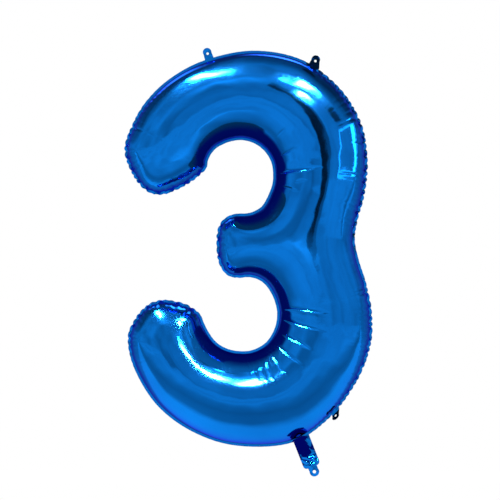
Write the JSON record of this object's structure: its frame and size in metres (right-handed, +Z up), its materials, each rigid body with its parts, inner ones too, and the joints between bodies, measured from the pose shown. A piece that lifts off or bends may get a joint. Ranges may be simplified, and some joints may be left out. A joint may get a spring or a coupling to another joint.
{
  "type": "foil number balloon",
  "caption": "Inflated mirror-blue foil balloon in the shape of the numeral three, with a sealed edge, punched hanging tabs, and a folding filling tail with a film valve.",
  "frame": {"origin": "middle of the whole balloon's box, in the plane of the weld", "axes": "+Z up the numeral, +X to the reader's right, so the numeral reads correctly from -Y; +Y from the front panel to the back panel"},
  "size_m": [0.5964, 0.187, 1.0288],
  "materials": {
    "blue_foil": "metallised film, mirror bright, blue lacquer",
    "valve_film": "clear soft film"
  },
  "bodies": {
    "balloon": {"front_foil_panel": "blue_foil", "back_foil_panel": "blue_foil"},
    "tail": {"tail_front_film": "blue_foil", "tail_back_film": "blue_foil"},
    "end_tab": {"tail_end_tab": "blue_foil"},
    "valve_front": {"valve_front_film": "valve_film"},
    "valve_back": {"valve_back_film": "valve_film"},
    "top_left_tab": {"upper_left_tab": "blue_foil"},
    "top_right_tab": {"upper_right_tab": "blue_foil"},
    "low_right_tab": {"lower_right_tab": "blue_foil"}
  },
  "joints": [
    {"name": "upper_left_tab_fold", "type": "hinge", "parent": "balloon", "child": "top_left_tab", "pos_m": [-0.09425, 0, 0.48916], "axis": [0.9542, 0, 0.2993], "range_deg": [-90, 90], "stiffness_Nm_per_rad": 0.0005},
    {"name": "upper_right_tab_fold", "type": "hinge", "parent": "balloon", "child": "top_right_tab", "pos_m": [0.15812, 0, 0.47105], "axis": [0.847, 0, -0.5316], "range_deg": [-90, 90], "stiffness_Nm_per_rad": 0.0005},
    {"name": "lower_right_tab_fold", "type": "hinge", "parent": "balloon", "child": "low_right_tab", "pos_m": [0.20954, 0, -0.35968], "axis": [-0.6698, 0, -0.7425], "range_deg": [-38, 142], "stiffness_Nm_per_rad": 0.0005},
    {"name": "tail_fold", "type": "hinge", "parent": "balloon", "child": "tail", "pos_m": [0.12743, 0, -0.42431], "axis": [-0.8973, 0, -0.4415], "range_deg": [-90, 90], "stiffness_Nm_per_rad": 0.001},
    {"name": "end_tab_fold", "type": "hinge", "parent": "tail", "child": "end_tab", "pos_m": [0.15407, 0, -0.49195], "axis": [0.9304, 0, 0.3665], "range_deg": [-90, 90], "stiffness_Nm_per_rad": 0.0005},
    {"name": "valve_front_part", "type": "hinge", "parent": "balloon", "child": "valve_front", "pos_m": [0.12314, 0, -0.4156], "axis": [0.8973, 0, 0.4415], "range_deg": [0, 4], "stiffness_Nm_per_rad": 0.0005},
    {"name": "valve_back_part", "type": "hinge", "parent": "balloon", "child": "valve_back", "pos_m": [0.12314, 0, -0.4156], "axis": [-0.8973, 0, -0.4415], "range_deg": [0, 4], "stiffness_Nm_per_rad": 0.0005}
  ],
  "couplings": [
    {"joint": "valve_back_part", "follows": "valve_front_part", "ratio": 1}
  ]
}
